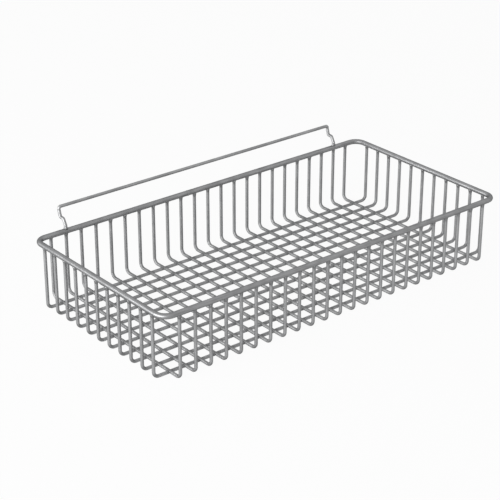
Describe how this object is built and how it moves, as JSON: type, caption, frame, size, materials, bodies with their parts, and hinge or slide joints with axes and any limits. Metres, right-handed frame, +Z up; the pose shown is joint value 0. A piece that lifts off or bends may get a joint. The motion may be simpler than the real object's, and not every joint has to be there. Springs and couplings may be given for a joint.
{
  "type": "wire basket",
  "caption": "Long, shallow, open-topped basket of welded plated steel wire, with a heavy rounded rim and a cranked hook bar at the back for a slotted display wall.",
  "frame": {"origin": "on the surface that the basket stands on, under the middle of its outer box", "axes": "+X along the basket, +Y towards the wall behind it (the hook side), +Z up"},
  "size_m": [0.6178, 0.3236, 0.1332],
  "materials": {
    "rim_plating": "bright plated steel wire, heavy gauge",
    "grid_plating": "bright plated steel wire, spot welded",
    "hook_plating": "bright plated steel wire, cranked"
  },
  "bodies": {
    "root": {"rim_wire": "rim_plating", "cross_wire_01": "grid_plating", "cross_wire_02": "grid_plating", "cross_wire_03": "grid_plating", "cross_wire_04": "grid_plating", "cross_wire_05": "grid_plating", "cross_wire_06": "grid_plating", "cross_wire_07": "grid_plating", "cross_wire_08": "grid_plating", "cross_wire_09": "grid_plating", "cross_wire_10": "grid_plating", "cross_wire_11": "grid_plating", "cross_wire_12": "grid_plating", "cross_wire_13": "grid_plating", "cross_wire_14": "grid_plating", "cross_wire_15": "grid_plating", "cross_wire_16": "grid_plating", "cross_wire_17": "grid_plating", "cross_wire_18": "grid_plating", "cross_wire_19": "grid_plating", "cross_wire_20": "grid_plating", "cross_wire_21": "grid_plating", "cross_wire_22": "grid_plating", "cross_wire_23": "grid_plating", "long_wire_01": "grid_plating", "long_wire_02": "grid_plating", "long_wire_03": "grid_plating", "long_wire_04": "grid_plating", "long_wire_05": "grid_plating", "long_wire_06": "grid_plating", "long_wire_07": "grid_plating", "long_wire_08": "grid_plating", "long_wire_09": "grid_plating", "long_wire_10": "grid_plating", "long_wire_11": "grid_plating", "hook_wire": "hook_plating"}
  },
  "joints": []
}
